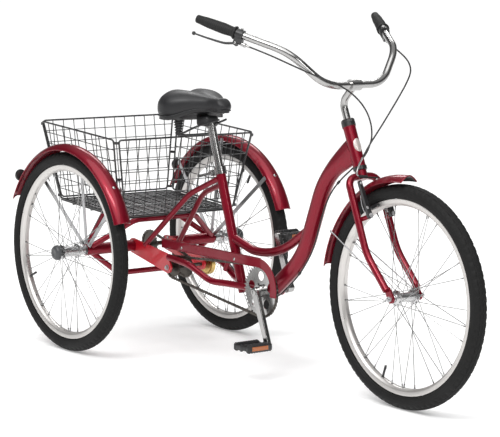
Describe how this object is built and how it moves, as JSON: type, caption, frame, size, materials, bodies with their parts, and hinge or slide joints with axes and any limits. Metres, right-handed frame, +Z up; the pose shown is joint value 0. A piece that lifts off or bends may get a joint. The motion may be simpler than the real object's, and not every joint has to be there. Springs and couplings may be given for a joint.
{
  "type": "adult tricycle",
  "caption": "Step-through pedal tricycle with a steered front wheel, a chain and jackshaft drive to the rear axle, fenders and a wire cargo basket.",
  "frame": {"origin": "on the ground at the middle of the machine's outer box", "axes": "+X forward to the front wheel, +Y to the rider's left, +Z up"},
  "size_m": [1.9554, 0.7716, 1.1378],
  "materials": {
    "red_paint": "metallic cherry red paint under clear coat",
    "plate_paint": "bright red gloss paint",
    "reflector_amber": "moulded amber lens",
    "badge_metal": "plain pressed badge",
    "chrome": "polished plating",
    "rim_alloy": "satin rim alloy with steel spokes",
    "tyre_rubber": "black tread rubber",
    "grip_rubber": "soft black rubber",
    "black_plastic": "moulded black plastic",
    "black_metal": "black coating",
    "chain_steel": "oiled dark steel",
    "steel": "zinc plated steel",
    "hub_steel": "zinc plated hub",
    "brass": "yellow zinc plating",
    "saddle_vinyl": "grained black vinyl",
    "reflector_red": "moulded red lens",
    "cable_black": "black cable housing"
  },
  "bodies": {
    "frame": {"head_tube": "red_paint", "headset_cups": "black_metal", "down_tube": "red_paint", "top_tube": "red_paint", "seat_tube": "red_paint", "bottom_bracket_shell": "red_paint", "drive_plates": "plate_paint", "axle_housings": "red_paint", "axle_bearings": "steel", "chain_stays": "red_paint", "seat_stays": "red_paint", "rear_hoops": "red_paint", "seat_collar": "chrome", "chain_guard": "red_paint", "chains": "chain_steel", "band_brake": "brass", "right_fender": "red_paint", "left_fender": "red_paint", "fender_stays": "steel", "rear_reflectors": "reflector_red", "basket_floor": "black_metal", "basket_front_panel": "black_metal", "basket_rear_panel": "black_metal", "basket_left_panel": "black_metal", "basket_right_panel": "black_metal", "rear_brake_cable_lower": "cable_black"},
    "steering": {"fork": "red_paint", "stem": "chrome", "handlebar": "chrome", "grips": "grip_rubber", "brake_lever_mounts": "black_plastic", "front_fender": "red_paint", "front_axle": "steel", "front_brake_cable": "cable_black", "rear_brake_cable_upper": "cable_black"},
    "front_wheel": {"front_tyre": "tyre_rubber", "front_rim": "rim_alloy", "front_hub": "hub_steel"},
    "right_wheel": {"right_tyre": "tyre_rubber", "right_rim": "rim_alloy", "right_hub": "hub_steel"},
    "drive_axle": {"drive_axle": "steel", "left_tyre": "tyre_rubber", "left_rim": "rim_alloy", "left_hub": "hub_steel"},
    "jackshaft": {"jackshaft": "chain_steel", "brake_drum": "brass"},
    "cranks": {"right_crank": "chrome", "left_crank": "chrome", "chainring": "chrome"},
    "right_pedal": {"right_pedal": "black_plastic"},
    "left_pedal": {"left_pedal": "black_plastic"},
    "seat": {"seat_post": "chrome", "saddle": "saddle_vinyl", "saddle_springs": "black_metal"},
    "seat_clamp_lever": {"seat_clamp_lever": "chrome"},
    "front_brake_lever": {"front_brake_lever": "black_plastic"},
    "rear_brake_lever": {"rear_brake_lever": "black_plastic"},
    "right_brake_arm": {"right_brake_arm": "black_metal"},
    "left_brake_arm": {"left_brake_arm": "black_metal"}
  },
  "joints": [
    {"name": "steering_turn", "type": "hinge", "parent": "frame", "child": "steering", "pos_m": [0.43925, 0, 0.684], "axis": [-0.4031, 0, 0.9152], "range_deg": [-45, 45]},
    {"name": "front_wheel_spin", "type": "hinge", "parent": "steering", "child": "front_wheel", "pos_m": [0.64775, 0, 0.33], "axis": [0, 1, 0], "continuous": true},
    {"name": "right_wheel_spin", "type": "hinge", "parent": "frame", "child": "right_wheel", "pos_m": [-0.64775, -0.3257, 0.33], "axis": [0, 1, 0], "continuous": true},
    {"name": "crank_turn", "type": "hinge", "parent": "frame", "child": "cranks", "pos_m": [0.02825, 0, 0.266], "axis": [0, 1, 0], "continuous": true},
    {"name": "jackshaft_turn", "type": "hinge", "parent": "frame", "child": "jackshaft", "pos_m": [-0.44475, 0, 0.281], "axis": [0, 1, 0], "continuous": true},
    {"name": "drive_axle_turn", "type": "hinge", "parent": "frame", "child": "drive_axle", "pos_m": [-0.64775, 0, 0.33], "axis": [0, 1, 0], "continuous": true},
    {"name": "right_pedal_spin", "type": "hinge", "parent": "cranks", "child": "right_pedal", "pos_m": [0.09331, -0.128, 0.10894], "axis": [0, 1, 0], "continuous": true},
    {"name": "left_pedal_spin", "type": "hinge", "parent": "cranks", "child": "left_pedal", "pos_m": [-0.03681, 0.128, 0.42306], "axis": [0, 1, 0], "continuous": true},
    {"name": "seat_height", "type": "slide", "parent": "frame", "child": "seat", "axis": [-0.3256, 0, 0.9455], "range_m": [-0.04, 0.08]},
    {"name": "seat_clamp_turn", "type": "hinge", "parent": "frame", "child": "seat_clamp_lever", "pos_m": [-0.27847, -0.016, 0.60677], "axis": [-0.3256, 0, 0.9455], "range_deg": [0, 85]},
    {"name": "front_brake_pull", "type": "hinge", "parent": "steering", "child": "front_brake_lever", "pos_m": [0.21682, 0.28876, 1.05], "axis": [0.5309, 0.8038, 0.2684], "range_deg": [0, 8], "stiffness_Nm_per_rad": 4},
    {"name": "rear_brake_pull", "type": "hinge", "parent": "steering", "child": "rear_brake_lever", "pos_m": [0.21682, -0.28876, 1.05], "axis": [-0.5309, 0.8038, -0.2684], "range_deg": [0, 8], "stiffness_Nm_per_rad": 4},
    {"name": "right_brake_arm_turn", "type": "hinge", "parent": "steering", "child": "right_brake_arm", "pos_m": [0.53525, -0.043, 0.559], "axis": [0.9152, 0, 0.4031], "range_deg": [-4, 0]},
    {"name": "left_brake_arm_turn", "type": "hinge", "parent": "steering", "child": "left_brake_arm", "pos_m": [0.53525, 0.043, 0.559], "axis": [0.9152, 0, 0.4031], "range_deg": [0, 4]}
  ],
  "couplings": [
    {"joint": "jackshaft_turn", "follows": "drive_axle_turn", "ratio": 1.2222},
    {"joint": "crank_turn", "follows": "drive_axle_turn", "ratio": 0.55},
    {"joint": "right_brake_arm_turn", "follows": "front_brake_pull", "ratio": -0.5},
    {"joint": "left_brake_arm_turn", "follows": "front_brake_pull", "ratio": 0.5}
  ]
}
